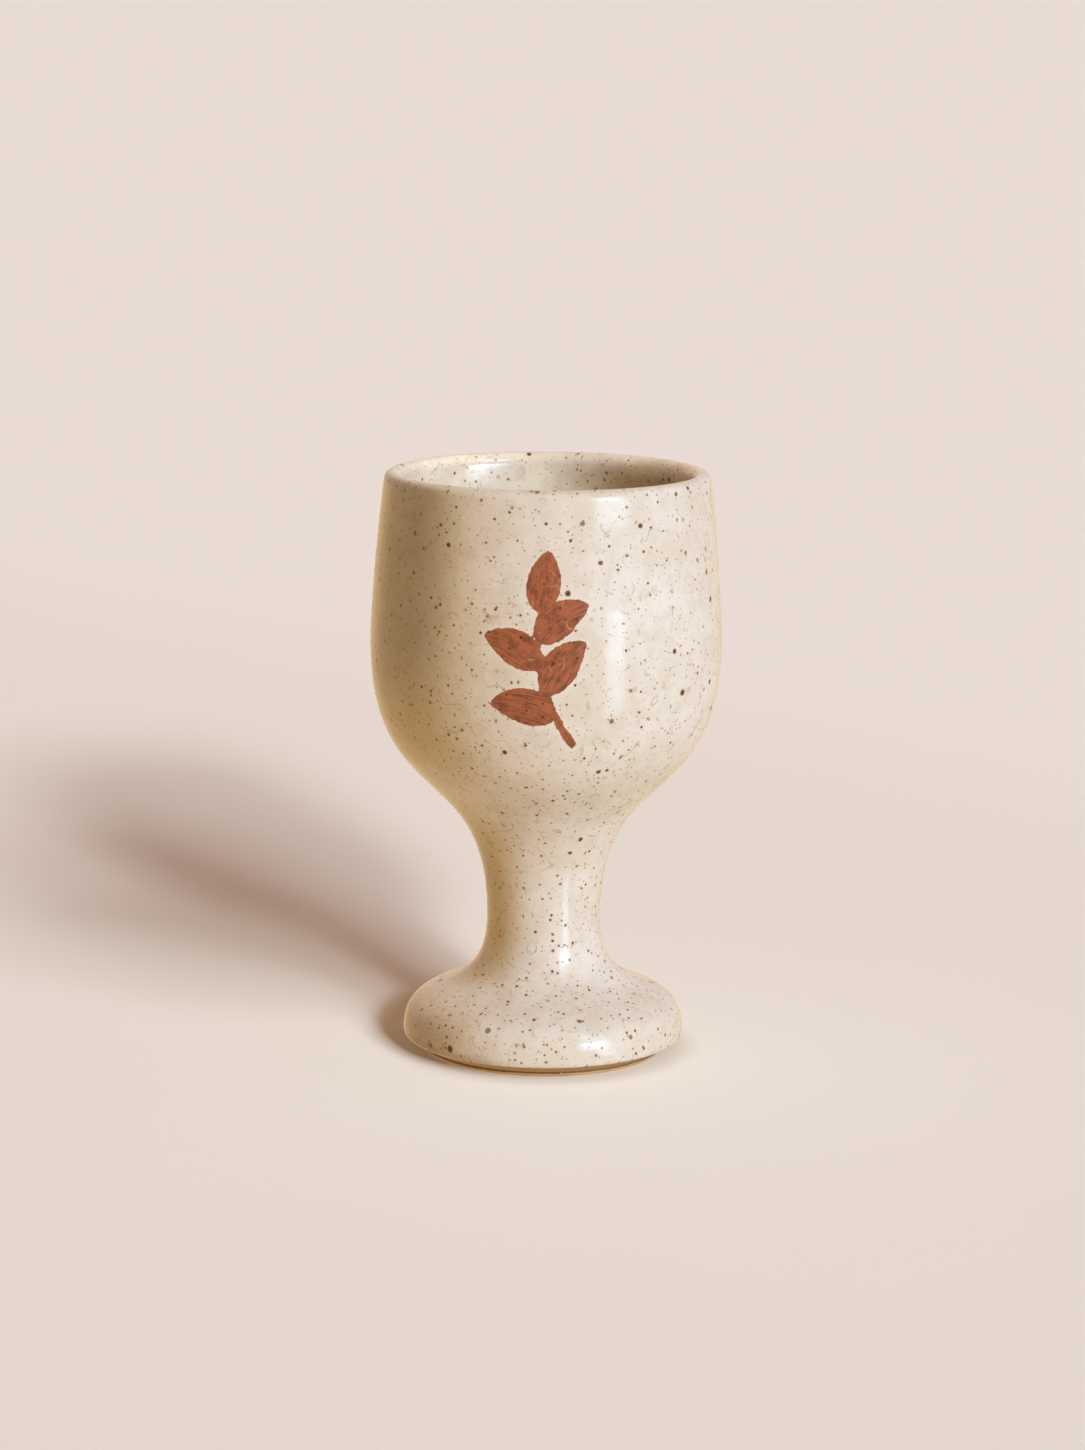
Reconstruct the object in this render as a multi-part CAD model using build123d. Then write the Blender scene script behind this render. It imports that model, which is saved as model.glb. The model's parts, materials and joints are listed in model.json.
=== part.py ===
from build123d import *
import math
import os

# Hand-thrown stoneware goblet, in millimetres, +Z up. The origin is the middle of the foot ring, on the
# surface that the goblet stands on. A bowl and a hollow pedestal are thrown apart, luted with slip and
# bridged by a soft coil of clay, then glazed inside and out down to a bare foot ring.
# Outlines are drawn as radius and height on the glazed surface. The clay lies one coat of glaze below.

# Outline of the glazed goblet: radius and height at the places that give it its form
goblet_height = 150.0
rim_radius = 41.5
bowl_radius = 44.8
bowl_belly_height = 106.5
waist_radius = 14.6
waist_height = 34.7
foot_radius = 36.2
foot_belly_height = 4.8

# How full each curve is beside those places, as a share of the rise between them
foot_dome_fullness = 0.56
waist_lower_fullness = 0.81
waist_upper_fullness = 0.585
bowl_lower_fullness = 0.61
bowl_upper_fullness = 0.25
rim_fullness = 0.25
rim_lean_angle = 6.8

# Edge of the foot, where the glaze stops, and the bare ring that is turned below it
glaze_line_set_back = 1.3
glaze_line_height = 3.1
glaze_line_angle = 25.0
foot_edge_fullness = 0.7
ring_set_back = 5.0
ring_height = 1.1
ring_width = 5.4
ring_chamfer = 0.4

# Walls, floor and hollows
wall_thickness = 4.6
floor_thickness = 8.0
bowl_inside_fullness = 0.6
floor_fullness = 0.62
stem_wall = 5.2
bore_taper = 0.6
hollow_height = 28.0
hollow_lower_fullness = 0.6
hollow_upper_fullness = 0.68

# Joint of the bowl and the pedestal, placed along the clay that flares from the waist to the bowl's belly
coil_bottom_share = 0.19
seat_share = 0.275
coil_top_share = 0.37
coil_thickness = 3.3
spigot_length = 4.0
slip_thickness = 0.6

# Coat of glaze on the clay, inside and out
glaze_thickness = 0.4


def at(radius, height):
    """A point of the section that is turned about the goblet's axis."""
    return Vector(radius, 0, height)


def slanted(angle):
    """The direction in the section that rises at an angle from level."""
    return at(math.cos(math.radians(angle)), math.sin(math.radians(angle)))


def left_of(way):
    """The direction square to a way through the section, on its left."""
    return at(-way.Z, way.X).normalized()


def upright_curve(low, high, low_fullness, high_fullness):
    """The control points of a curve that stands upright at both its ends."""
    rise = high.Z - low.Z
    return [low, low + at(0, low_fullness * rise), high - at(0, high_fullness * rise), high]


def bend(way, next_way, handle):
    """How sharply a curve bends, to the left, at the end of a handle."""
    return 2 / 3 * (way.X * next_way.Z - way.Z * next_way.X) / handle.length**3


def below(curve, depth):
    """The curve that keeps a depth from another on its left, with handles that suit its new radius."""
    start, middle, end = curve[1] - curve[0], curve[2] - curve[1], curve[3] - curve[2]
    first = curve[0] + depth * left_of(start)
    last = curve[3] + depth * left_of(end)
    first_handle = (1 - depth * bend(start, middle, start)) * start
    last_handle = (1 - depth * bend(middle, end, end)) * end
    return [first, first + first_handle, last - last_handle, last]


def laid(curves, depth):
    """A run of curves, drawn at a depth below the glazed surface."""
    return [Bezier(*below(curve, depth)) for curve in curves]


def turned(*edges):
    """The solid that a closed run of edges makes when it is turned about the goblet's axis."""
    return revolve(make_face(edges), axis=Axis.Z)


# Lip, a half round on the slanting wall, whose crest divides the outside from the inside
rim_way = slanted(90 + rim_lean_angle)
lip_radius = wall_thickness / 2
lip_drop = at(0, lip_radius) + lip_radius * left_of(rim_way)
shoulder = at(rim_radius, goblet_height - lip_drop.Z)
lip_centre = shoulder + lip_radius * left_of(rim_way)
crest = lip_centre + at(0, lip_radius)
inner_shoulder = lip_centre + lip_radius * left_of(rim_way)


def outer_lip(depth):
    low = lip_centre - (lip_radius - depth) * left_of(rim_way)
    return TangentArc(low, crest - at(0, depth), tangent=rim_way)


def inner_lip(depth):
    low = lip_centre + (lip_radius - depth) * left_of(rim_way)
    return TangentArc(crest - at(0, depth), low, tangent=at(-1, 0))


# Glazed outside, from the glaze line under the foot up to the lip
glaze_line = at(foot_radius - glaze_line_set_back, glaze_line_height)
foot_belly = at(foot_radius, foot_belly_height)
waist = at(waist_radius, waist_height)
bowl_belly = at(bowl_radius, bowl_belly_height)
wall_rise = shoulder.Z - bowl_belly.Z
foot_edge = [
    glaze_line,
    glaze_line + foot_edge_fullness * glaze_line_set_back * slanted(glaze_line_angle),
    foot_belly - at(0, foot_edge_fullness * (foot_belly_height - glaze_line_height)),
    foot_belly,
]
dome = upright_curve(foot_belly, waist, foot_dome_fullness, waist_lower_fullness)
flare = upright_curve(waist, bowl_belly, waist_upper_fullness, bowl_lower_fullness)
wall = [
    bowl_belly,
    bowl_belly + at(0, bowl_upper_fullness * wall_rise),
    shoulder - rim_fullness * wall_rise * rim_way,
    shoulder,
]
outside = [foot_edge, dome, flare, wall]

# Joint, laid out along the flare of the clay
clay_flare = Bezier(*below(flare, glaze_thickness))
coil_bottom = clay_flare @ coil_bottom_share
coil_top = clay_flare @ coil_top_share
seat_edge = clay_flare @ seat_share - at(coil_thickness, 0)
stem_edge = seat_edge - at(0, slip_thickness)
bore_radius = waist_radius - glaze_thickness - stem_wall
bore_top_radius = bore_radius - bore_taper
spigot_radius = bore_top_radius - slip_thickness
spigot_end = seat_edge.Z - spigot_length

# Glazed inside, from the lip down to the middle of the floor
inner_belly = bowl_belly - at(wall_thickness, 0)
floor = at(0, seat_edge.Z + floor_thickness)
inner_rise = inner_shoulder.Z - inner_belly.Z
inner_wall = [
    inner_shoulder,
    inner_shoulder - rim_fullness * inner_rise * rim_way,
    inner_belly + at(0, bowl_upper_fullness * inner_rise),
    inner_belly,
]
inner_base = [
    inner_belly,
    inner_belly - at(0, bowl_inside_fullness * (inner_belly.Z - floor.Z)),
    floor + at(floor_fullness * inner_belly.X, 0),
    floor,
]
inside = [inner_wall, inner_base]


def make_bowl():
    """Thrown bowl with a round lip, its underside turned to a flat seat with a spigot."""
    clay_floor = floor - at(0, glaze_thickness)
    return turned(
        clay_flare.trim(coil_top_share, 1),
        *laid([wall], glaze_thickness),
        outer_lip(glaze_thickness),
        inner_lip(glaze_thickness),
        *laid(inside, glaze_thickness),
        Polyline(
            clay_floor,
            at(0, spigot_end),
            at(spigot_radius, spigot_end),
            at(spigot_radius, seat_edge.Z),
            seat_edge,
            coil_top,
        ),
    )


def make_pedestal():
    """Thrown stem and foot in one, hollow from the foot ring up to the spigot of the bowl."""
    ring_radius = foot_radius - ring_set_back
    hollow_radius = ring_radius - ring_width
    hollow_side = at(hollow_radius, ring_chamfer)
    hollow_top = at(bore_radius, hollow_height)
    clay_line = below(foot_edge, glaze_thickness)[0]
    return turned(
        *laid([foot_edge, dome], glaze_thickness),
        clay_flare.trim(0, coil_bottom_share),
        Polyline(coil_bottom, stem_edge, at(bore_top_radius, stem_edge.Z), hollow_top),
        Bezier(*upright_curve(hollow_side, hollow_top, hollow_lower_fullness, hollow_upper_fullness)),
        Polyline(
            hollow_side,
            at(hollow_radius + ring_chamfer, 0),
            at(ring_radius - ring_chamfer, 0),
            at(ring_radius, ring_chamfer),
            at(ring_radius, ring_height),
            clay_line,
        ),
    )


def make_luting_slip():
    """Slip that fills the joint, round the spigot and across the seat."""
    return turned(
        Polyline(
            at(spigot_radius, spigot_end),
            at(bore_top_radius, spigot_end),
            at(bore_top_radius, stem_edge.Z),
            stem_edge,
            seat_edge,
            at(spigot_radius, seat_edge.Z),
            close=True,
        )
    )


def make_joint_coil():
    """Soft coil worked into the seam, which carries the stem's curve on into the bowl's."""
    return turned(
        clay_flare.trim(coil_bottom_share, coil_top_share),
        Polyline(coil_top, seat_edge, stem_edge, coil_bottom),
    )


def make_inside_glaze():
    """Coat of glaze from the crest of the lip down to the middle of the floor."""
    return turned(
        inner_lip(0),
        *laid(inside, 0),
        Line(floor, floor - at(0, glaze_thickness)),
        *laid(inside, glaze_thickness),
        inner_lip(glaze_thickness),
        Line(crest, crest - at(0, glaze_thickness)),
    )


def make_outside_glaze():
    """Coat of glaze from its line under the foot up to the crest of the lip."""
    return turned(
        *laid(outside, 0),
        outer_lip(0),
        Line(crest, crest - at(0, glaze_thickness)),
        outer_lip(glaze_thickness),
        *laid(outside, glaze_thickness),
        Line(glaze_line, below(foot_edge, glaze_thickness)[0]),
    )


pieces = {
    "bowl": make_bowl,
    "pedestal": make_pedestal,
    "luting_slip": make_luting_slip,
    "joint_coil": make_joint_coil,
    "inside_glaze": make_inside_glaze,
    "outside_glaze": make_outside_glaze,
}
os.makedirs("parts", exist_ok=True)
for name, make in pieces.items():
    export_step(make(), f"parts/{name}.step")
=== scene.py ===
"""Looks of a hand-thrown stoneware goblet: glaze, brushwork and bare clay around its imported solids.

Laid out as an add-on and run as a script. Lengths are metres in the goblet's own frame: +Z up along the
axis that it was turned about, the origin on the table under the middle of the foot, -Y the painted front.
"""
import json
import math

import bpy
import numpy as np
from mathutils import Matrix, Vector

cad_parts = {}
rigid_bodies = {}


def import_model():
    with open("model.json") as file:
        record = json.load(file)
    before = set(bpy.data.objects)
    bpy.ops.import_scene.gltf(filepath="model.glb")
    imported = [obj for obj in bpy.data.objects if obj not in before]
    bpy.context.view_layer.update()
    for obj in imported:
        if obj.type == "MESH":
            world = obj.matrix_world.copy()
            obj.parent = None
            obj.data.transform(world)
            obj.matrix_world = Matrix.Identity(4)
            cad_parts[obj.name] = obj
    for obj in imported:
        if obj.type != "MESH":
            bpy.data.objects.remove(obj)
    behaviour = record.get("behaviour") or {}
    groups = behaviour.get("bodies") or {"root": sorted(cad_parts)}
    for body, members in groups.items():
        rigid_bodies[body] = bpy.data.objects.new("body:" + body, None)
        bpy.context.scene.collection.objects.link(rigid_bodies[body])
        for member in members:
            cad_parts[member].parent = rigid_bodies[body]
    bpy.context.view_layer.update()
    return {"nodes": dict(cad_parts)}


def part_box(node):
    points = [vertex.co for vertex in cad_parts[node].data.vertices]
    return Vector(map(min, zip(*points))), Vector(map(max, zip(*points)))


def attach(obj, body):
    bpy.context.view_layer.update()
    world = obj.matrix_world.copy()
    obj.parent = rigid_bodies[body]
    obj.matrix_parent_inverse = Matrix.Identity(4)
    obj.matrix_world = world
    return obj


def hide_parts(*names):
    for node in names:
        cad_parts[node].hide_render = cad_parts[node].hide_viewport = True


bl_info = {
    "name": "Stoneware goblet",
    "version": (1, 0, 0),
    "blender": (4, 5, 0),
    "location": "3D View > Sidebar > Goblet",
    "description": "Glazes and paints a thrown goblet around its solids and sets it on a studio floor",
    "category": "Object",
}

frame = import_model()

MM = 0.001
BODY = "root"
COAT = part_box("outside_glaze")[1].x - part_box("bowl")[1].x
BOWL_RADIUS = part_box("outside_glaze")[1].x
GOBLET_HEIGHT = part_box("outside_glaze")[1].z
FOOT_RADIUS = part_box("pedestal")[1].x + COAT
WALL = BOWL_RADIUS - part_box("inside_glaze")[1].x + COAT
FLOOR_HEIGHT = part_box("inside_glaze")[0].z + COAT
STEM_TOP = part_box("pedestal")[1].z
STEM_TOP_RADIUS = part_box("luting_slip")[1].x
COIL_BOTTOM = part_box("joint_coil")[0].z

# Columns of the turned surfaces, and their angles round the axis from the front
COLUMNS = 280
ANGLE = np.linspace(0, 2 * math.pi, COLUMNS, endpoint=False)[None, :]
# Steps along the outlines: on the outer glaze, the liner, the hidden faces of both, the turned foot ring and
# the hollow above it, at the glaze line, at the lip's crest and where a plainer outline ends, and the length
# over which a step changes
OUTER_STEP = 0.8 * MM
LINER_STEP = 0.9 * MM
BACK_STEP = 3.0 * MM
TOOL_STEP = 0.16 * MM
HOLLOW_STEP = 0.26 * MM
LINE_STEP = 0.05 * MM
CREST_STEP = 0.28 * MM
END_STEP = 0.5 * MM
STEP_EASE = 4 * MM


def linear(hex_colour):
    """Linear red, green and blue of an sRGB colour written as #RRGGBB."""
    shares = [int(hex_colour[place : place + 2], 16) / 255 for place in (1, 3, 5)]
    return tuple(s / 12.92 if s <= 0.04045 else ((s + 0.055) / 1.055) ** 2.4 for s in shares)


def length_property(name, description, default):
    kind = {"min": 0, "precision": 5, "unit": "LENGTH", "subtype": "DISTANCE"}
    return bpy.props.FloatProperty(name=name, description=description, default=default, **kind)


def angle_property(name, description, degrees):
    kind = {"unit": "ROTATION", "subtype": "ANGLE"}
    return bpy.props.FloatProperty(name=name, description=description, default=math.radians(degrees), **kind)


def colour_property(name, description, hex_colour):
    kind = {"size": 3, "min": 0, "max": 1, "subtype": "COLOR"}
    colour = linear(hex_colour)
    return bpy.props.FloatVectorProperty(name=name, description=description, default=colour, **kind)


class GobletForm(bpy.types.PropertyGroup):
    """Sizes of the thrown form, measured on the glazed surface."""

    height: length_property("Height", "Height of the goblet to the crest of its lip", GOBLET_HEIGHT)
    rim_radius: length_property("Rim radius", "Radius where the wall meets the lip", 41.5 * MM)
    bowl_radius: length_property("Bowl radius", "Largest radius of the bowl", BOWL_RADIUS)
    bowl_height: length_property("Bowl belly height", "Height of the largest radius of the bowl", 106.5 * MM)
    waist_radius: length_property("Waist radius", "Smallest radius of the stem", 14.6 * MM)
    waist_height: length_property("Waist height", "Height of the smallest radius of the stem", 34.7 * MM)
    foot_radius: length_property("Foot radius", "Largest radius of the foot", FOOT_RADIUS)
    foot_height: length_property("Foot belly height", "Height of the largest radius of the foot", 4.8 * MM)
    wall: length_property("Wall", "Thickness of the glazed wall and lip", WALL)
    floor_height: length_property("Floor height", "Height of the glazed floor of the bowl", FLOOR_HEIGHT)
    coat: length_property("Coat", "Thickness of the glaze", COAT)
    foot_ring_radius: length_property("Foot ring radius", "Outer radius of the bare ring", 31.2 * MM)
    foot_ring_height: length_property("Foot ring height", "Height of the upright side of the ring", 1.1 * MM)
    foot_ring_width: length_property("Foot ring width", "Width of the bare ring", 5.4 * MM)
    stem_wall: length_property("Stem wall", "Thickness of the clay at the waist of the stem", 5.2 * MM)
    ring_height: length_property("Ring pitch", "Rise of one turn of the throwing rings", 5.2 * MM)
    ring_depth: length_property("Ring depth", "Depth of the throwing rings in the glaze", 0.022 * MM)
    tool_pitch: length_property("Tool pitch", "Distance between turning lines on the bare clay", 0.62 * MM)
    tool_depth: length_property("Tool depth", "Depth of the turning lines on the bare clay", 0.07 * MM)
    rim_lift: length_property("Rim lift", "How far the lip rises from level at the front", 0.6 * MM)
    drift: length_property("Drift", "How far the thrown wall wanders from true", 0.13 * MM)


class GlazeColours(bpy.types.PropertyGroup):
    """Colours of the fired surfaces."""

    cream: colour_property("Cream", "Glaze where it lies thick", "#ECE5DE")
    liner: colour_property("Liner", "Glaze inside the bowl, where it lies thickest", "#F7F0DE")
    oatmeal: colour_property("Oatmeal", "Clouds in the glaze", "#E1D6C8")
    straw: colour_property("Straw", "Mottling in the glaze", "#DAD0C4")
    honey: colour_property("Honey", "Glaze where it breaks thin over the clay", "#C9A468")
    # Painted shade: "Toast", "Toast on the foot", "Toast inside" and "Ash" are washes that darken the left
    # side, the lower left of the foot and the inner wall on the right
    left_shade: colour_property("Toast", "Wash of colour on the side that faced the flame", "#EDE2C2")
    foot_left_shade: colour_property("Toast on the foot", "The same wash on the foot", "#DFD4CB")
    liner_right_shade: colour_property("Toast inside", "The same wash inside the bowl", "#BCAA81")
    high_left_shade: colour_property("Ash", "Wash of flying ash high on the side that faced the flame", "#D4D5DF")
    iron: colour_property("Iron", "Iron specks that burn through the glaze", "#4E2C0C")
    rust: colour_property("Rust", "Faint iron marks under the glaze", "#8C5E25")
    bleed: colour_property("Bleed", "Wash that each iron speck bleeds into the glaze round it", "#E4C699")
    cleared: colour_property("Cleared", "Glaze that the brushed stain clears round its edge", "#F1EADF")
    stain: colour_property("Stain", "Brushed iron stain", "#AC5B34")
    stain_dark: colour_property("Dark stain", "Brushed iron stain where it lies heavy", "#743515")
    clay: colour_property("Clay", "Bare fired stoneware", "#CBAA82")
    # The toasted clay also carries painted shade on the undercut band under the foot
    clay_dark: colour_property("Toasted clay", "Bare stoneware beside the glaze line", "#AC875D")


class StudioSetup(bpy.types.PropertyGroup):
    """Camera and light."""

    lens: bpy.props.FloatProperty(
        name="Lens", description="Focal length in millimetres", default=100.0, min=1, unit="CAMERA"
    )
    camera_distance: length_property("Camera distance", "From the camera to its aim", 1033.6 * MM)
    camera_rise: angle_property("Camera rise", "Angle of the camera above level", 11.128)
    camera_roll: angle_property("Camera roll", "Turn of the camera about its own line of sight", 0.511)
    aim_height: length_property("Aim height", "Height of the camera's aim", 84.6 * MM)
    window_side: angle_property("Window side", "Angle of the window, to the right of the front", 44)
    window_rise: angle_property("Window rise", "Angle of the window above level", 25)
    window_width: angle_property("Window width", "Width of the window as the goblet sees it", 24)
    window_height: angle_property("Window height", "Height of the window as the goblet sees it", 14)
    backdrop: colour_property("Backdrop", "Pale surround that the camera and the gloss see", "#E5D7CC")
    fill: colour_property("Fill", "Warm light from all round", "#834505")
    board: colour_property("Board", "Paint of the floor", "#F5F2EC")
    # Painted light: the far board stands in for brighter light on the floor behind the goblet
    far_board_light: colour_property("Far board", "Paint of the floor behind the goblet", "#F9F7F4")
    contact: colour_property("Contact shade", "Wash on the floor close round the foot", "#E7E0DC")
    board_glow: colour_property("Board glow", "Light that the camera sees in the floor's shadows", "#2E3A32")
    board_sheen: colour_property("Board sheen", "Floor as it shows in the gloss of the glaze", "#F0D4A8")
    bounce_left: colour_property("Bounce on the left", "Light thrown up by the floor's left side", "#CDB083")
    bounce_right: colour_property("Bounce on the right", "Light thrown up by its right side", "#DED5CB")


# Outlines of the goblet, in the section that is turned about its axis

CURVE_POINTS = 400
ARC_POINTS = 120


def curve(points):
    """A cubic curve: its four points, weighed by (1-t)^3, 3t(1-t)^2, 3t^2(1-t) and t^3 for t from 0 to 1."""
    share = np.linspace(0, 1, CURVE_POINTS)[:, None]
    weights = ((1 - share) ** 3, 3 * share * (1 - share) ** 2, 3 * share**2 * (1 - share), share**3)
    return sum(weight * np.array(point, float) for weight, point in zip(weights, points))


def upright(low, high, low_fullness, high_fullness):
    """A cubic curve that stands upright at both ends, with handles that are shares of its rise."""
    rise = np.array([0, high[1] - low[1]])
    return curve([low, low + low_fullness * rise, high - high_fullness * rise, high])


def arc(centre, radius, first, last):
    """Part of a circle: the centre plus the radius times the cosine and sine of the angles between two."""
    angle = np.linspace(first, last, ARC_POINTS)
    return np.stack([centre[0] + radius * np.cos(angle), centre[1] + radius * np.sin(angle)], axis=-1)


def joined(*runs):
    """Runs of points end to end, without the repeated point where two meet."""
    return np.concatenate([runs[0]] + [run[1:] for run in runs[1:]])


def stepped(points, step):
    """Straight runs from point to point, each divided into equal parts of no more than a step."""
    runs = []
    for start, finish in zip(points[:-1], points[1:]):
        count = max(1, math.ceil(np.hypot(*(finish - start)) / step))
        runs.append(start + np.linspace(0, 1, count, endpoint=False)[:, None] * (finish - start))
    return np.concatenate(runs)


class Section:
    """An outline with its length and its normals, which point to the left of the way that it runs."""

    def __init__(self, points):
        steps = np.hypot(*np.diff(points, axis=0).T)
        self.along = np.concatenate([[0], np.cumsum(steps)])
        self.length = self.along[-1]
        self.points = points
        way = np.gradient(points, self.along, axis=0)
        way /= np.hypot(way[:, 0], way[:, 1])[:, None]
        self.left = np.stack([-way[:, 1], way[:, 0]], axis=-1)

    def at(self, along, depth):
        """Radius and height at lengths along the outline and at depths to its left."""
        radius, height, left_radius, left_height = (
            np.interp(along, self.along, column)
            for column in (*self.points.T, *self.left.T)
        )
        return radius + depth * left_radius, height + depth * left_height


RIM_LEAN = math.radians(6.8)
GLAZE_LINE_SET_BACK = 1.3 * MM
GLAZE_LINE_HEIGHT = 3.1 * MM
GLAZE_LINE_ANGLE = math.radians(25)
RING_CHAMFER = 0.4 * MM
BORE_TAPER = 0.6 * MM
HOLLOW_HEIGHT = 28.0 * MM
# How full the curves are: the lengths of their handles, as shares of the rise or reach between their ends
RIM_FULLNESS = 0.25
FOOT_EDGE_FULLNESS = 0.7
DOME_FULLNESS = (0.56, 0.81)
FLARE_FULLNESS = (0.585, 0.61)
BASE_FULLNESS = 0.6
FLOOR_FULLNESS = 0.62
HOLLOW_FULLNESS = (0.6, 0.68)
# Points on the glazed side of the pedestal, and the stride that thins out the points of its hollow
GLAZED_SIDE_POINTS = 40
HOLLOW_STRIDE = 7


def lip(form):
    """Centre and radius of the half-round lip, and the points where it meets the outer and inner wall."""
    radius = form.wall / 2
    inward = np.array([-math.cos(RIM_LEAN), -math.sin(RIM_LEAN)])
    outer = np.array([form.rim_radius, form.height - radius * (1 - math.sin(RIM_LEAN))])
    centre = outer + radius * inward
    return centre, radius, outer, centre + radius * inward


def leaning_wall(belly, shoulder):
    """The wall from the belly, where it stands upright, to the shoulder, where it leans in with the rim."""
    rise = RIM_FULLNESS * (shoulder[1] - belly[1])
    way = np.array([-math.sin(RIM_LEAN), math.cos(RIM_LEAN)])
    return curve([belly, belly + [0, rise], shoulder - rise * way, shoulder])


def outside_outline(form):
    """Radius and height from the glaze line under the foot, over the stem and bowl, to the lip's crest."""
    foot = np.array([form.foot_radius, form.foot_height])
    waist = np.array([form.waist_radius, form.waist_height])
    belly = np.array([form.bowl_radius, form.bowl_height])
    line = np.array([form.foot_radius - GLAZE_LINE_SET_BACK, GLAZE_LINE_HEIGHT])
    along = np.array([math.cos(GLAZE_LINE_ANGLE), math.sin(GLAZE_LINE_ANGLE)])
    handle = FOOT_EDGE_FULLNESS * np.array([GLAZE_LINE_SET_BACK, foot[1] - line[1]])
    centre, radius, shoulder, _ = lip(form)
    return joined(
        curve([line, line + handle[0] * along, foot - [0, handle[1]], foot]),
        upright(foot, waist, *DOME_FULLNESS),
        upright(waist, belly, *FLARE_FULLNESS),
        leaning_wall(belly, shoulder),
        arc(centre, radius, RIM_LEAN, math.pi / 2),
    )


def inside_outline(form):
    """Radius and height from the lip's crest down the inner wall to the middle of the bowl's floor."""
    belly = np.array([form.bowl_radius - form.wall, form.bowl_height])
    floor = np.array([0, form.floor_height])
    centre, radius, _, shoulder = lip(form)
    drop = BASE_FULLNESS * np.array([0, belly[1] - floor[1]])
    return joined(
        arc(centre, radius, math.pi / 2, math.pi + RIM_LEAN),
        leaning_wall(belly, shoulder)[::-1],
        curve([belly, belly - drop, floor + [FLOOR_FULLNESS * belly[0], 0], floor]),
    )


def pedestal_outline(form):
    """Radius and height round the section of the clay pedestal: up its outside, one coat below the glaze,
    over its top, down the bore and the hollow under the foot, across the ring that it stands on and out to
    the glaze line. Also gives the number of points before the bare clay, at the top of the hollow."""
    glazed = Section(outside_outline(form))
    stem_along = np.interp(COIL_BOTTOM, glazed.points[:, 1], glazed.along)
    outside = np.stack(glazed.at(np.linspace(0, stem_along, GLAZED_SIDE_POINTS), form.coat), axis=-1)
    bore_radius = form.waist_radius - form.coat - form.stem_wall
    ring_radius = form.foot_ring_radius
    hollow_radius = ring_radius - form.foot_ring_width
    hollow_top = np.array([bore_radius, HOLLOW_HEIGHT])
    bore = [[STEM_TOP_RADIUS, STEM_TOP], [bore_radius - BORE_TAPER, STEM_TOP], hollow_top]
    hollow = upright(np.array([hollow_radius, RING_CHAMFER]), hollow_top, *HOLLOW_FULLNESS)[::-HOLLOW_STRIDE]
    ring = [
        [hollow_radius + RING_CHAMFER, 0],
        [ring_radius - RING_CHAMFER, 0],
        [ring_radius, RING_CHAMFER],
        [ring_radius, form.foot_ring_height],
    ]
    covered = stepped(np.concatenate([outside, bore]), BACK_STEP)
    bare_hollow = stepped(np.concatenate([hollow, ring[:1]]), HOLLOW_STEP)
    bare_ring = stepped(np.concatenate([ring, outside[:1]]), TOOL_STEP)
    return np.concatenate([covered, bare_hollow, bare_ring]), len(covered)


# Turned surfaces and the marks of the hand in them

ROW_SAMPLES = 6000
SHARP_FOLD = math.radians(42)
# How far the rings fade out from the crest and from the middle of the floor, and the drift from the middle
RIM_FADE = 12 * MM
MIDDLE_FADE = 10 * MM
DRIFT_FADE = 20 * MM
# Width of the bead at the glaze line, and the length over which the line's waves fade out
BEAD_WIDTH = 0.7 * MM
WAVE_FADE = 6 * MM
# Waves of the thrown wall: how many go round the axis, their phase, how far it turns from foot to lip, and
# their depth. Then the sum of the depths, and the share of the height over which the waves grow
DRIFT_WAVES = ((2, 1.3, 2.1, 1.0), (3, -0.7, -3.4, 0.6))
DRIFT_SPAN = 1.6
DRIFT_ONSET = 0.15
# Sideways swell of the thrown wall: its depth, its turn and phase on the way up, and its side
SWELL_DEPTH = 0.5
SWELL_TURN = 9.0
SWELL_PHASE = 0.4
SWELL_SIDE = 0.8
# Share of the lip's lift that varies round the axis, and the angle at which the lip is highest
LIFT_TILT = 0.35
LIFT_ANGLE = 0.3
# Throwing rings: how far they wander from a true spiral, the share of their depth that varies, the turns
# and phase of the bands in which it does, and how many times deeper they are inside than outside
RING_WANDER = 0.5
BAND_SHARE = 0.4
BAND_TURNS = 7.3
BAND_PHASE = 0.9
INSIDE_RINGS = 1.6
# Waves of the glaze line: how many go round the axis, their phase and depth. Then how far the line is drawn
# up on average, and the swing that a wave of depth 1 gives it
LINE_WAVES = ((3, 0.5, 0.22), (7, 2.1, 0.16), (16, 0.0, 0.1))
LINE_RISE = 0.22 * MM
LINE_SWING = 0.45 * MM
# Turning lines: how far they shift round the axis, as a share of their pitch, and where, the share of their
# depth that varies, and how many times that does so round the axis and over what length
TOOL_SHIFT = 0.3
TOOL_ANGLE = 0.7
TOOL_VARIES = 0.45
TOOL_CHANGES = 3
TOOL_CHANGE_LENGTH = 2.3 * MM
# Lengths over which the turning lines grow from the top of the hollow and fade at the glaze line, and the
# width of the line that undercuts the foot ring and how many times deeper it is than they are
HOLLOW_FADE = 3 * MM
LINE_FADE = 0.4 * MM
UNDERCUT_WIDTH = 0.2 * MM
UNDERCUT_DEPTH = 3


def grown(value, whole):
    """The share that a value is of a whole, held between nothing and all."""
    return np.clip(value / whole, 0, 1)


def rows(length, step, start_step, end_step):
    """Places along a length, in steps that grow from start_step to step and shrink again to end_step."""
    fine = np.linspace(0, length, ROW_SAMPLES)
    grow = start_step + (step - start_step) * np.minimum(1, fine / STEP_EASE)
    shrink = end_step + (step - end_step) * np.minimum(1, (length - fine) / STEP_EASE)
    turns = np.concatenate([[0], np.cumsum(np.diff(fine) / np.minimum(grow, shrink)[1:])])
    count = int(round(turns[-1]))
    return np.interp(np.linspace(0, turns[-1], count + 1), turns, fine)


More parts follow.
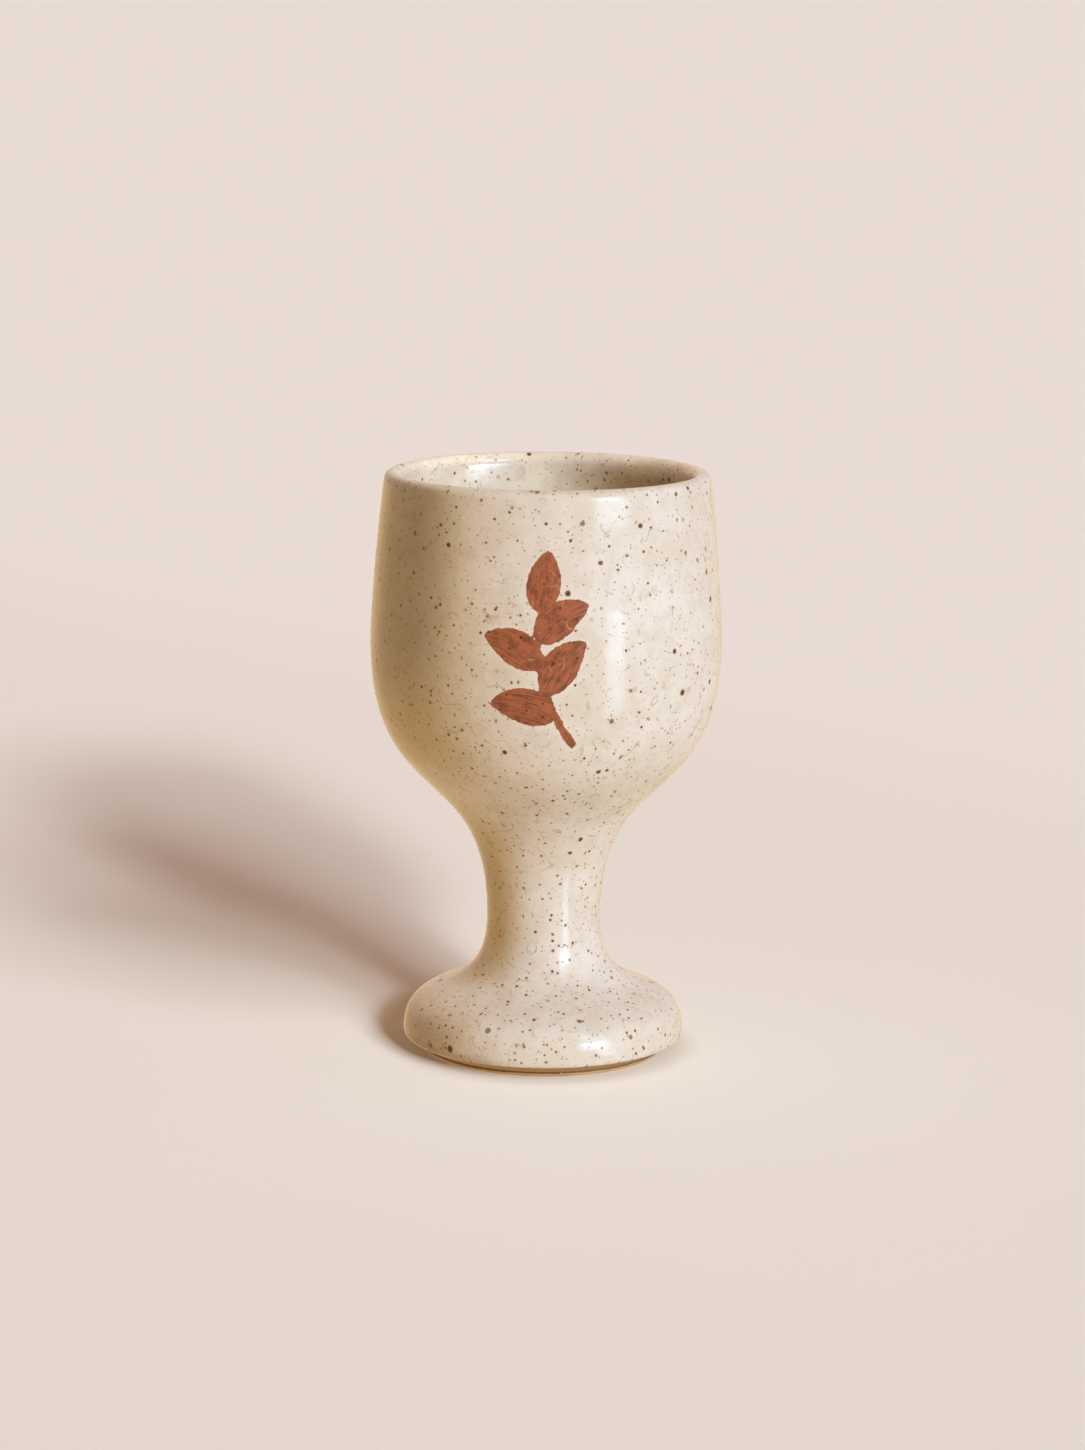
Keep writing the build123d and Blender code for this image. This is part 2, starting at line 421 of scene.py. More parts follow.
def hand_drift(height, form):
    """How far a thrown wall stands out of true: slow waves round the axis whose phase turns with the height,
    and a swell to one side that is a sine of the height. Both grow from nothing at the foot to their full
    depth a little above it."""
    rise = height / form.height
    waves = sum(
        deep * np.cos(count * ANGLE + start + turn * rise)
        for count, start, turn, deep in DRIFT_WAVES
    )
    swell = SWELL_DEPTH * np.sin(SWELL_TURN * rise + SWELL_PHASE) * np.cos(ANGLE + SWELL_SIDE)
    return form.drift * grown(rise, DRIFT_ONSET) * (waves + swell) / DRIFT_SPAN


def rim_rise(height, form):
    """How far the thrown lip stands above level: a cosine of the angle, highest near the front, times the
    square of the share of the way from the belly to the lip."""
    share = grown(height - form.bowl_height, form.height - form.bowl_height)
    return form.rim_lift * share**2 * (1 - LIFT_TILT + LIFT_TILT * np.cos(ANGLE - LIFT_ANGLE))


def throwing_rings(height, form):
    """Rings that the fingers leave: a sine of the height and the angle together, so that they climb as a
    spiral, deeper in some bands than in others."""
    turns = 2 * math.pi * height / form.ring_height
    spiral = np.sin(turns - ANGLE + RING_WANDER * np.sin(2 * ANGLE))
    band = 1 - BAND_SHARE + BAND_SHARE * np.sin(turns / BAND_TURNS + BAND_PHASE)
    return form.ring_depth * band * spiral


def outside_surface(form):
    """Radius and height of the outer face of the glaze, a row for each ring, with its section. The outline
    is drawn in to a bead at the glaze line, which waves, and is moved by the marks of the hand."""
    section = Section(outside_outline(form))
    along = rows(section.length, OUTER_STEP, LINE_STEP, CREST_STEP)[:, None]
    wave = sum(deep * np.cos(count * ANGLE + start) for count, start, deep in LINE_WAVES)
    along = along + (LINE_RISE + LINE_SWING * wave) * (1 - grown(along, WAVE_FADE))
    bead = grown(along - along[:1], BEAD_WIDTH)
    depth = form.coat * (1 - np.sqrt(1 - (1 - bead) ** 2))
    _, height = section.at(along, depth)
    depth = depth - grown(section.length - along, RIM_FADE) * throwing_rings(height, form)
    radius, height = section.at(along, depth)
    return radius + hand_drift(height, form), height + rim_rise(height, form), section


def inside_surface(form):
    """Radius and height of the inner face of the glaze, from the lip's crest to a ring near the axis, with
    its section. The throwing rings are deeper than outside and fade out at the crest and the middle."""
    section = Section(inside_outline(form))
    along = rows(section.length, LINER_STEP, CREST_STEP, END_STEP)[:-1, None] + 0 * ANGLE
    _, height = section.at(along, 0)
    fade = grown(along, RIM_FADE) * grown(section.length - along, MIDDLE_FADE)
    radius, height = section.at(along, -INSIDE_RINGS * fade * throwing_rings(height + along, form))
    radius = radius + hand_drift(height, form) * grown(radius, DRIFT_FADE)
    return radius, height + rim_rise(height, form), section


def pedestal_surface(form):
    """Radius and height of the clay pedestal. The bare part has turning lines, which are the eighth power of
    a cosine of the length along the section, so that they are narrow, and which fade and shift round the
    axis. A deeper line undercuts the foot ring's upper corner. The face that it stands on stays flat."""
    points, covered = pedestal_outline(form)
    section = Section(points)
    along = section.along[:, None] - section.along[covered]
    shift = TOOL_SHIFT * form.tool_pitch * np.sin(ANGLE + TOOL_ANGLE)
    line = np.cos(math.pi * (along + shift) / form.tool_pitch) ** 8
    line *= 1 - TOOL_VARIES + TOOL_VARIES * np.sin(TOOL_CHANGES * ANGLE + along / TOOL_CHANGE_LENGTH)
    corner = np.array([form.foot_ring_radius, form.foot_ring_height])
    undercut = np.exp(-(np.hypot(*(points - corner).T) / UNDERCUT_WIDTH) ** 2)[:, None]
    raised = points[:, 1:] >= 0.5 * RING_CHAMFER
    bare = grown(along, HOLLOW_FADE) * grown(along[-1] - along, LINE_FADE) * raised
    depth = bare * form.tool_depth * (line + UNDERCUT_DEPTH * undercut)
    return section.at(section.along[:, None], depth)


def turned_points(radius, height):
    """Points of a surface turned about the axis: the radius times the sine and minus the cosine of the
    angle, which is nothing at the front, and the height. Radius and height have a row for each ring."""
    return np.stack([radius * np.sin(ANGLE), -radius * np.cos(ANGLE), height], axis=-1)


def ring_faces(ring_count, looped):
    """Quads that join each ring to the next and each column to the next, the last column to the first and,
    where looped, the last ring to the first. They face to the right of the way that the outline runs."""
    ring = np.arange(ring_count if looped else ring_count - 1)[:, None]
    column = np.arange(COLUMNS)[None, :]
    next_ring = (ring + 1) % ring_count * COLUMNS
    next_column = (column + 1) % COLUMNS
    ring = ring * COLUMNS
    quads = [ring + column, ring + next_column, next_ring + next_column, next_ring + column]
    return np.stack(quads, axis=-1).reshape(-1, 4).tolist()


def cap_faces(first, pole, upward):
    """Triangles from the ring that starts at a point to a pole on the axis, turned to face up or down."""
    column = np.arange(COLUMNS)
    edge = [first + column, first + (column + 1) % COLUMNS]
    if not upward:
        edge.reverse()
    return np.stack([*edge, np.full(COLUMNS, pole)], axis=-1).tolist()


def add_piece(name, points, faces, material):
    """A smooth mesh object at the origin that rides on the body, with its sharp folds kept sharp."""
    mesh = bpy.data.meshes.new(name)
    mesh.from_pydata(points.reshape(-1, 3).tolist(), [], faces)
    mesh.polygons.foreach_set("use_smooth", np.ones(len(mesh.polygons), bool))
    mesh.set_sharp_from_angle(angle=SHARP_FOLD)
    mesh.materials.append(material)
    if mesh.validate():
        raise RuntimeError(f"{name} has faulty faces")
    piece = bpy.data.objects.new(name, mesh)
    bpy.context.scene.collection.objects.link(piece)
    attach(piece, BODY)
    return piece


# Brushwork: a leafy sprig on the front of the bowl, laid out by distance round the bowl and height

SPRIG_BASE = np.array([6.6, 88.0]) * MM
SPRIG_TIP = np.array([-1.6, 121.5]) * MM
SPRIG_BOW = 3.4 * MM
STALK_WIDTH = 2.2 * MM
LEAF_LENGTH = 17.0 * MM
LEAF_WIDTH = 9.4 * MM
LEAF_SWAY = 1.3 * MM
LEAF_ANGLE = math.radians(55)
# Where each leaf grows, as a share of the stalk, and whether to its left, to its right or straight on
LEAVES = ((0.24, 1), (0.42, -1), (0.62, 1), (0.8, -1), (1.0, 0))
# How far the stalk thins, how soon a leaf swells and how slowly it thins, the gap at its root as a share of
# its length, and how much shorter and narrower the leaves get up the stalk
STALK_TAPER = 0.55
LEAF_SWELL = 0.72
LEAF_TAPER = 0.85
LEAF_GAP = 0.06
LEAF_SHORTER = 0.12
LEAF_NARROWER = 0.1
DABS = 56
# Part of the bowl that the brush can reach, and the depth, in millimetres, that stands for bare glaze
BRUSH_REACH = 26 * MM
BRUSH_LOWEST = 82 * MM
BRUSH_HIGHEST = 146 * MM
FAR_FROM_PAINT = -9.0
# Spacing of the strokes' own coordinates, so that no two strokes share their streaks, in millimetres
STROKE_SPACING = (40, 15)
BRUSH_MARKS = ("brush_depth", "brush_along", "brush_aside")


def brush_path(start, finish, sway):
    """A bowed path: the straight way from start to finish, pushed to its left by the sway times 4t(1-t)."""
    share = np.linspace(0, 1, DABS)[:, None]
    way = finish - start
    left = np.array([-way[1], way[0]]) / np.hypot(*way)
    return start + share * way + 4 * sway * share * (1 - share) * left


def sprig_strokes():
    """Each stroke as the middles and radii of the round dabs that a brush leaves on its way. The stalk thins
    towards its tip. A leaf swells soon after the brush lands and runs out to a point where it lifts."""
    share = np.linspace(0, 1, DABS)
    stalk = brush_path(SPRIG_BASE, SPRIG_TIP, SPRIG_BOW)
    strokes = [(stalk, STALK_WIDTH / 2 * (1 - STALK_TAPER * share))]
    leaf_radius = LEAF_WIDTH / 2 * np.sin(math.pi * share**LEAF_SWELL) ** LEAF_TAPER
    for place, side in LEAVES:
        index = int(round(place * (DABS - 1)))
        way = np.diff(stalk, axis=0)[min(index, DABS - 2)]
        heading = math.atan2(way[1], way[0]) + side * LEAF_ANGLE
        reach = LEAF_LENGTH * (1 - LEAF_SHORTER * place) * np.array([math.cos(heading), math.sin(heading)])
        path = brush_path(stalk[index] + LEAF_GAP * reach, stalk[index] + reach, -side * LEAF_SWAY)
        strokes.append((path, leaf_radius * (1 - LEAF_NARROWER * place)))
    return strokes


def brushwork(across, height):
    """How deep each point lies inside the brushed marks, and its places along and across its stroke, all in
    millimetres. A stroke is the union of its dabs, so the depth is the largest of each dab's radius less the
    distance to its middle. Points are given by their distance round the bowl from the front and height."""
    near = (np.abs(across) < BRUSH_REACH) & (height > BRUSH_LOWEST) & (height < BRUSH_HIGHEST)
    spot = np.stack([across[near], height[near]], axis=-1)
    every = np.arange(len(spot))
    best = np.full(len(spot), FAR_FROM_PAINT)
    best_along = np.zeros(len(spot))
    best_aside = np.zeros(len(spot))
    for order, (path, radius) in enumerate(sprig_strokes()):
        offset = spot[:, None, :] - path[None, :, :]
        inside = (radius - np.hypot(offset[..., 0], offset[..., 1])) / MM
        dab = inside.argmax(axis=1)
        way = np.gradient(path, axis=0)[dab]
        way /= np.hypot(way[:, 0], way[:, 1])[:, None]
        away = offset[every, dab]
        side = (away[:, 1] * way[:, 0] - away[:, 0] * way[:, 1]) / MM
        length = np.hypot(*(path[-1] - path[0])) / MM
        wins = inside[every, dab] > best
        best = np.where(wins, inside[every, dab], best)
        best_along = np.where(wins, dab / (DABS - 1) * length + STROKE_SPACING[0] * order, best_along)
        best_aside = np.where(wins, side + STROKE_SPACING[1] * order, best_aside)
    marks = [np.full(across.shape, FAR_FROM_PAINT), np.zeros(across.shape), np.zeros(across.shape)]
    for mark, found in zip(marks, (best, best_along, best_aside)):
        mark[near] = found
    return marks


# Materials

# Settings that nodes share. Inputs that go by number are, of a Map Range, its value, the limits of that
# value and those of the result, from 0 to 4, and of a Mix, its share at 0 and its colours at 6 and 7
SMOOTH = {"interpolation_type": "SMOOTHSTEP"}
TINT = {"out": 2, "data_type": "RGBA"}
WASH = {"out": 2, "data_type": "RGBA", "blend_type": "MULTIPLY"}
TIMES = {"operation": "MULTIPLY"}
MINUS = {"operation": "SUBTRACT"}
LARGER = {"operation": "MAXIMUM"}


def add(tree, kind, inputs=None, out=0, **settings):
    """Adds a node, sets its own settings, fills its inputs, by name or number, with values or links, and
    gives the output that is wanted of it."""
    made = tree.nodes.new(f"ShaderNode{kind}")
    for name, value in settings.items():
        setattr(made, name, value)
    for key, value in (inputs or {}).items():
        if isinstance(value, bpy.types.NodeSocket):
            tree.links.new(value, made.inputs[key])
        else:
            made.inputs[key].default_value = value
    return made.outputs[out] if made.outputs else None


def cleared_tree(owner):
    """The empty node tree of a material or a world."""
    owner.use_nodes = True
    owner.node_tree.nodes.clear()
    return owner.node_tree


def scale_of(millimetres):
    """Texture scale, per metre, at which a pattern's features are this many millimetres apart."""
    return 1000 / millimetres


def opaque(colour, level=1.0):
    """A colour at a level, with the fourth number that a socket needs."""
    return (*(level * share for share in colour), 1)


def shaken(tree, place, size, reach):
    """Coordinates pushed by up to a reach along each axis, in features of a size, both in millimetres."""
    noise = add(tree, "TexNoise", {"Vector": place, "Scale": scale_of(size), "Detail": 2.0}, out="Color")
    return add(tree, "VectorMath", {0: noise, 1: (reach * MM,) * 3, 2: place}, operation="MULTIPLY_ADD")


def faded(tree, *limits, most=1.0):
    """The most times smooth steps, each from 0 where a value is at its start to 1 at its finish."""
    share = most
    for value, start, finish in limits:
        part = add(tree, "MapRange", {0: value, 1: start, 2: finish}, **SMOOTH)
        share = add(tree, "Math", {0: share, 1: part}, **TIMES)
    return share


def specks(tree, place, strength, spacing, smallest, largest, share, edge, bleed):
    """Round specks, one in the middle of a Voronoi cell, in only a share of the cells: how far one covers a
    point, with a soft edge, and how far the stain round it does. Both are weaker in some cells, and at most
    the strength. All lengths are millimetres."""
    cells = add(tree, "TexVoronoi", {"Vector": place, "Scale": scale_of(spacing)}).node.outputs
    chance = add(tree, "SeparateColor", {0: cells["Color"]}).node.outputs
    radius = add(tree, "MapRange", {0: chance[0], 3: smallest / spacing, 4: largest / spacing})
    missing = add(tree, "Math", {0: chance[1], 1: share}, operation="GREATER_THAN")
    inside = add(tree, "Math", {0: radius, 1: cells["Distance"]}, **MINUS)
    inside = add(tree, "Math", {0: inside, 1: missing}, **MINUS)
    weight = faded(tree, (chance[2], -0.9, 0.6), most=strength)
    core = add(tree, "MapRange", {0: inside, 1: -edge / spacing, 2: edge / spacing}, **SMOOTH)
    stain = add(tree, "MapRange", {0: inside, 1: -bleed / spacing, 2: 0.0}, **SMOOTH)
    return [add(tree, "Math", {0: part, 1: weight}, **TIMES) for part in (core, stain)]


# Specks of iron in the glaze, from points to a few large burnt spots: spacing, smallest and largest radius,
# share of cells that have one, softness of the edge and width of the stain round it. Lengths are millimetres
IRON_SPECKS = (
    (2.0, 0.14, 0.36, 0.46, 0.06, 0.28),
    (4.6, 0.3, 0.58, 0.44, 0.06, 0.35),
    (11.5, 0.5, 0.82, 0.8, 0.06, 0.4),
)
# In the same terms: specks that crowd the stem, the underside of the bowl and the left side, faint points
# and drawn-out dashes under the glaze, and light and dark grit in the bare clay
CROWDED_SPECKS = (2.2, 0.14, 0.36, 0.6, 0.06, 0.28)
RUST_POINTS = (1.3, 0.11, 0.26, 0.9, 0.1, 0.2)
RUST_DASHES = (2.4, 0.1, 0.22, 0.6, 0.08, 0.2)
PALE_GRIT = (1.3, 0.1, 0.32, 0.5, 0.08, 0.1)
DARK_GRIT = (1.9, 0.1, 0.3, 0.6, 0.06, 0.1)
# Depth of the glaze's uneven skin and its sunk specks, and of the bare clay's grit
SKIN_DEPTH = 0.02 * MM
GRIT_DEPTH = 0.06 * MM
GLAZE_IOR = 1.52
CLAY_IOR = 1.5
# Streaks of the bristles for each millimetre along and across a stroke: about 4.5 mm long and 0.4 mm apart
STREAKS_ALONG = 0.22
STREAKS_ACROSS = 2.4
# How much of their height the drawn-out dashes count, and a shift that keeps the crowded specks apart
DASH_STRETCH = (1, 1, 0.42)
CROWD_SHIFT = (0.037, 0.011, 0.053)


def melt_clouds(tree, place, body, colours):
    """Clouds, in two sizes, that the melt leaves as it moves: the glaze's colour, and the larger clouds."""
    cloud = add(tree, "TexNoise", {"Vector": place, "Scale": scale_of(16), "Detail": 5.0, "Roughness": 0.62})
    share = add(tree, "MapRange", {0: cloud, 1: 0.36, 2: 0.68}, **SMOOTH)
    colour = add(tree, "Mix", {0: share, 6: opaque(body), 7: opaque(colours.oatmeal)}, **TINT)
    mottle = {"Vector": place, "Scale": scale_of(4.5), "Detail": 5.0, "Roughness": 0.7}
    share = add(tree, "MapRange", {0: add(tree, "TexNoise", mottle), 1: 0.44, 2: 0.68, 4: 0.55}, **SMOOTH)
    return add(tree, "Mix", {0: share, 6: colour, 7: opaque(colours.straw)}, **TINT), cloud


def shade_washes(colours, facing, height, brim, painted):
    """Painted shade: washes that darken the left side of the goblet, the lower left of its foot and the
    inner
    wall on the right below the lip: their colours and the limits they fade between.
    """
    if not painted:
        return ((colours.liner_right_shade, ((facing, 0.1, -0.75), (height, brim - 1 * MM, brim - 6 * MM))),)
    return (
        (colours.left_shade, ((facing, -0.15, -0.8), (height, -8 * MM, 20 * MM))),
        (colours.high_left_shade, ((facing, -0.45, -0.75), (facing, -1.0, -0.9), (height, 86 * MM, 112 * MM))),
        (colours.foot_left_shade, ((facing, -0.5, -0.85), (height, 16 * MM, 8 * MM))),
        (colours.foot_left_shade, ((facing, -0.1, -0.45), (height, 6.5 * MM, 3.7 * MM))),
    )


def honey_places(tree, place, height, wandering, brim):
    """Shares of honey: a faint band under the bowl, and the glaze breaking thin at the foot's lower edge and
    on the lip's crest.
    """
    edge = add(tree, "SeparateXYZ", {0: shaken(tree, place, 3, 0.6)}, out=2)
    return (
        faded(tree, (wandering, 50 * MM, 68 * MM), (wandering, 104 * MM, 78 * MM), most=0.07),
        faded(tree, (edge, 4.3 * MM, 3.1 * MM), most=0.7),
        faded(tree, (height, brim - 0.4 * MM, brim + 0.2 * MM), most=0.12),
    )


def contour_threads(tree, place):
    """Fine threads, drawn wide enough to show: contour lines of a cloud, and the patches that break them."""
    lines = add(tree, "TexNoise", {"Vector": place, "Scale": scale_of(9), "Detail": 1.0})
    off_line = add(tree, "Math", {0: lines, 1: 0.5}, **MINUS)
    off_line = add(tree, "Math", {0: off_line}, operation="ABSOLUTE")
    patch = add(tree, "TexNoise", {"Vector": place, "Scale": scale_of(3.4), "Detail": 1.0})
    return faded(tree, (off_line, 0.016, 0.003)), patch


def brushed_stain(tree, place, colour, thread, patch, colours):
    """Iron stain brushed on the glaze: a ragged edge with cleared glaze round it, streaks along the strokes,
    heavy blots and pale threads. Gives the new colour and the share of it that is stain."""
    depth, along, aside = (add(tree, "Attribute", out="Fac", attribute_name=name) for name in BRUSH_MARKS)
    ragged = {"Vector": place, "Scale": scale_of(1.7), "Detail": 3.0, "Roughness": 0.6}
    ragged = add(tree, "MapRange", {0: add(tree, "TexNoise", ragged), 3: -0.55, 4: 0.55})
    depth = add(tree, "Math", {0: depth, 1: ragged})
    mark = add(tree, "MapRange", {0: depth, 1: -0.1, 2: 0.12, 4: 0.97}, **SMOOTH)
    clear = add(tree, "MapRange", {0: depth, 1: -1.6, 2: -0.2, 4: 0.35}, **SMOOTH)
    colour = add(tree, "Mix", {0: clear, 6: colour, 7: opaque(colours.cleared)}, **TINT)
    along = add(tree, "Math", {0: along, 1: STREAKS_ALONG}, **TIMES)
    aside = add(tree, "Math", {0: aside, 1: STREAKS_ACROSS}, **TIMES)
    bristles = add(tree, "CombineXYZ", {0: along, 1: aside})
    streak = add(tree, "TexNoise", {"Vector": bristles, "Scale": 1.0, "Detail": 3.0})
    blots = {"Vector": place, "Scale": scale_of(2.6), "Detail": 4.0, "Roughness": 0.7}
    heavy = add(tree, "Math", {0: streak, 1: add(tree, "TexNoise", blots)})
    share = add(tree, "MapRange", {0: heavy, 1: 0.86, 2: 1.22}, **SMOOTH)
    paint = add(tree, "Mix", {0: share, 6: opaque(colours.stain), 7: opaque(colours.stain_dark)}, **TINT)
    share = add(tree, "MapRange", {0: patch, 1: 0.52, 2: 0.4, 4: 0.5}, **SMOOTH)
    scratch = add(tree, "Math", {0: thread, 1: share}, **TIMES)
    paint = add(tree, "Mix", {0: scratch, 6: paint, 7: opaque(colours.honey)}, **TINT)
    return add(tree, "Mix", {0: mark, 6: colour, 7: paint}, **TINT), mark


def iron_specks(tree, place, colour, facing, wandering, colours):
    """Iron from the clay: rust under the glaze, as points and as dashes that ran down with it, and specks
    that burn through, each in a warm stain. Gives the new colour and the share of it that is burnt."""
    grain = shaken(tree, place, 0.9, 0.35)
    drawn_out = add(tree, "VectorMath", {0: grain, 1: DASH_STRETCH}, **TIMES)
    for spot, strength, sizes in ((grain, 0.7, RUST_POINTS), (drawn_out, 0.9, RUST_DASHES)):
        core, _ = specks(tree, spot, strength, *sizes)
        colour = add(tree, "Mix", {0: core, 6: colour, 7: opaque(colours.rust)}, **TINT)
    low = faded(tree, (wandering, 96 * MM, 78 * MM), most=0.95)
    toasted = faded(tree, (facing, 0.1, -0.45), most=0.9)
    crowd = add(tree, "Math", {0: low, 1: toasted}, **LARGER)
    moved = add(tree, "VectorMath", {0: grain, 1: CROWD_SHIFT})
    layers = [(moved, crowd, CROWDED_SPECKS)] + [(grain, 0.95, sizes) for sizes in IRON_SPECKS]
    burnt = 0.0
    for spot, strength, sizes in layers:
        core, stain = specks(tree, spot, strength, *sizes)
        colour = add(tree, "Mix", {0: stain, 6: colour, 7: opaque(colours.bleed)}, **WASH)
        colour = add(tree, "Mix", {0: core, 6: colour, 7: opaque(colours.iron)}, **TINT)
        burnt = add(tree, "Math", {0: burnt, 1: core}, **LARGER)
    return colour, burnt


def glaze_material(name, colours, form, painted):
    """Glossy stoneware glaze, poured on and fired: cream clouded with oatmeal, honey-coloured where it
    breaks thin, peppered by iron from the clay, and so smooth that a lamp shows in it as a clear streak."""
    material = bpy.data.materials.new(name)
    tree = cleared_tree(material)
    place = add(tree, "TexCoord", out="Object")
    height = add(tree, "SeparateXYZ", {0: place}, out=2)
    facing = add(tree, "SeparateXYZ", {0: add(tree, "TexCoord", out="Normal")})
    wandering = add(tree, "SeparateXYZ", {0: shaken(tree, place, 14, 14)}, out=2)

    colour, cloud = melt_clouds(tree, place, colours.cream if painted else colours.liner, colours)
    # Painted shade: darker washes on the left side, the lower left of the foot and the inner wall on the
    # right
    for wash, limits in shade_washes(colours, facing, height, form.height, painted):
        colour = add(tree, "Mix", {0: faded(tree, *limits), 6: colour, 7: opaque(wash)}, **WASH)
    for thin in honey_places(tree, place, height, wandering, form.height):
        colour = add(tree, "Mix", {0: thin, 6: colour, 7: opaque(colours.honey)}, **TINT)
    thread, patch = contour_threads(tree, place)
    share = add(tree, "MapRange", {0: patch, 1: 0.46, 2: 0.66, 4: 0.3}, **SMOOTH)
    share = add(tree, "Math", {0: thread, 1: share}, **TIMES)
    colour = add(tree, "Mix", {0: share, 6: colour, 7: opaque(colours.rust)}, **TINT)
    gloss_loss = 0.0
    if painted:
        colour, mark = brushed_stain(tree, place, colour, thread, patch, colours)
        gloss_loss = add(tree, "Math", {0: mark, 1: 0.14}, **TIMES)
    colour, burnt = iron_specks(tree, place, colour, facing, wandering, colours)

    # A fired skin that is never quite flat, with the specks slightly sunk and duller than the glaze
    peel = add(tree, "TexNoise", {"Vector": place, "Scale": scale_of(4), "Detail": 2.0})
    rise = add(tree, "Math", {0: peel, 1: burnt}, **MINUS)
    rise = add(tree, "Math", {0: rise, 1: SKIN_DEPTH}, **TIMES)
    bump = add(tree, "Bump", {"Height": rise, "Strength": 1.0, "Distance": 1.0})
    dull = add(tree, "Math", {0: burnt, 1: 0.2, 2: gloss_loss}, operation="MULTIPLY_ADD")
    clouded = add(tree, "MapRange", {0: cloud, 1: 0.3, 2: 0.7, 3: 0.14, 4: 0.19}, **SMOOTH)
    roughness = add(tree, "Math", {0: dull, 1: clouded})
    skin = {"Base Color": colour, "Roughness": roughness, "Normal": bump, "IOR": GLAZE_IOR}
    add(tree, "OutputMaterial", {"Surface": add(tree, "BsdfPrincipled", skin)})
    return material


def clay_material(name, colours, turned):
    """Bare stoneware, fired without glaze: matt and toasted, with light and dark grit and, where it was
    turned, a darker band beside the glaze line, partly toasting and partly painted shade on the undercut
    under the foot, and a painted shadow line in the concave corner at the top of the foot ring."""
    material = bpy.data.materials.new(name)
    tree = cleared_tree(material)
    place = add(tree, "TexCoord", out="Object")
    cloud = add(tree, "TexNoise", {"Vector": place, "Scale": scale_of(7), "Detail": 5.0, "Roughness": 0.65})
    share = add(tree, "MapRange", {0: cloud, 1: 0.38, 2: 0.72, 4: 0.4}, **SMOOTH)
    colour = add(tree, "Mix", {0: share, 6: opaque(colours.clay), 7: opaque(colours.clay_dark)}, **TINT)
    if turned:
        height = add(tree, "SeparateXYZ", {0: shaken(tree, place, 2.5, 0.5)}, out=2)
        # Partly toasting beside the glaze line, partly painted shade on the undercut bevel under the foot
        flash = faded(tree, (height, 0.8 * MM, 1.3 * MM), (height, 4 * MM, 3 * MM), most=0.75)
        colour = add(tree, "Mix", {0: flash, 6: colour, 7: opaque(colours.clay_dark)}, **TINT)
        # Painted shade: a dark line in the concave corner at the top of the foot ring
        line = faded(tree, (height, 0.9 * MM, 1.1 * MM), (height, 1.6 * MM, 1.3 * MM), most=0.6)
        colour = add(tree, "Mix", {0: line, 6: colour, 7: opaque(colours.iron)}, **TINT)
    for strength, sizes, grit in ((0.5, PALE_GRIT, colours.oatmeal), (0.6, DARK_GRIT, colours.iron)):
        core, _ = specks(tree, place, strength, *sizes)
        colour = add(tree, "Mix", {0: core, 6: colour, 7: opaque(grit)}, **TINT)
    rough = add(tree, "TexNoise", {"Vector": place, "Scale": scale_of(0.6), "Detail": 3.0, "Roughness": 0.7})
    rise = add(tree, "Math", {0: rough, 1: GRIT_DEPTH}, **TIMES)
    bump = add(tree, "Bump", {"Height": rise, "Strength": 1.0, "Distance": 1.0})
    roughness = add(tree, "MapRange", {0: cloud, 1: 0.2, 2: 0.8, 3: 0.72, 4: 0.87}, **SMOOTH)
    skin = {"Base Color": colour, "Roughness": roughness, "Normal": bump, "IOR": CLAY_IOR}
    add(tree, "OutputMaterial", {"Surface": add(tree, "BsdfPrincipled", skin)})
    return material


# Distances from the axis between which the board turns darker round the foot, where less light reaches it
CONTACT_REACH = (0.043, 0.031)
# Level of the darker clouds in the paint, the distances to the right and back between which it is
# painted paler as painted light, and the places to the left and right between which the light that it
# throws up changes
BOARD_CLOUD = 0.98
FAR_REACH = (0.3, 0.65)
BOUNCE_REACH = (-0.12, 0.12)


def floor_material(setup):
    """Warm painted board. The camera sees it pale under the light and the shadow that fall on it. In the
    gloss of the glaze it shows as an even sheen, and it throws a warm light up on the goblet."""
    material = bpy.data.materials.new("painted_studio_floor")
    tree = cleared_tree(material)
    path = add(tree, "LightPath").node.outputs
    place = add(tree, "TexCoord", out="Object")
    across, back, _ = add(tree, "SeparateXYZ", {0: place}).node.outputs
    cloud = add(tree, "TexNoise", {"Vector": place, "Scale": scale_of(70), "Detail": 4.0})
    pale = add(tree, "Mix", {0: cloud, 6: opaque(setup.board, BOARD_CLOUD), 7: opaque(setup.board)}, **TINT)
    # Painted light: the board paler to the right and back, as if more brightly lit there
    beyond = faded(tree, (add(tree, "Math", {0: across, 1: back}), *FAR_REACH))
    pale = add(tree, "Mix", {0: beyond, 6: pale, 7: opaque(setup.far_board_light)}, **TINT)
    away = add(tree, "VectorMath", {0: place}, out="Value", operation="LENGTH")
    near = faded(tree, (away, *CONTACT_REACH))
    pale = add(tree, "Mix", {0: near, 6: pale, 7: opaque(setup.contact)}, **WASH)
    board = add(tree, "BsdfDiffuse", {"Color": pale})
    glow = add(tree, "Emission", {"Color": opaque(setup.board_glow), "Strength": 1.0})
    lit = add(tree, "AddShader", {0: board, 1: glow})
    sheen = add(tree, "Emission", {"Color": opaque(setup.board_sheen), "Strength": 1.0})
    side = faded(tree, (across, *BOUNCE_REACH))
    thrown = add(tree, "Mix", {0: side, 6: opaque(setup.bounce_left), 7: opaque(setup.bounce_right)}, **TINT)
    bounce = add(tree, "Emission", {"Color": thrown, "Strength": 1.0})
    unseen = add(tree, "MixShader", {0: path["Is Glossy Ray"], 1: bounce, 2: sheen})
    seen = add(tree, "Math", {0: path["Is Camera Ray"], 1: path["Is Transmission Ray"]}, **LARGER)
    add(tree, "OutputMaterial", {"Surface": add(tree, "MixShader", {0: seen, 1: unseen, 2: lit})})
    return material


# Stage

FLOOR_REACH = 40.0
WINDOW_DISTANCE = 20.0
WINDOW_LIGHT = (0.46, 0.592, 0.755)
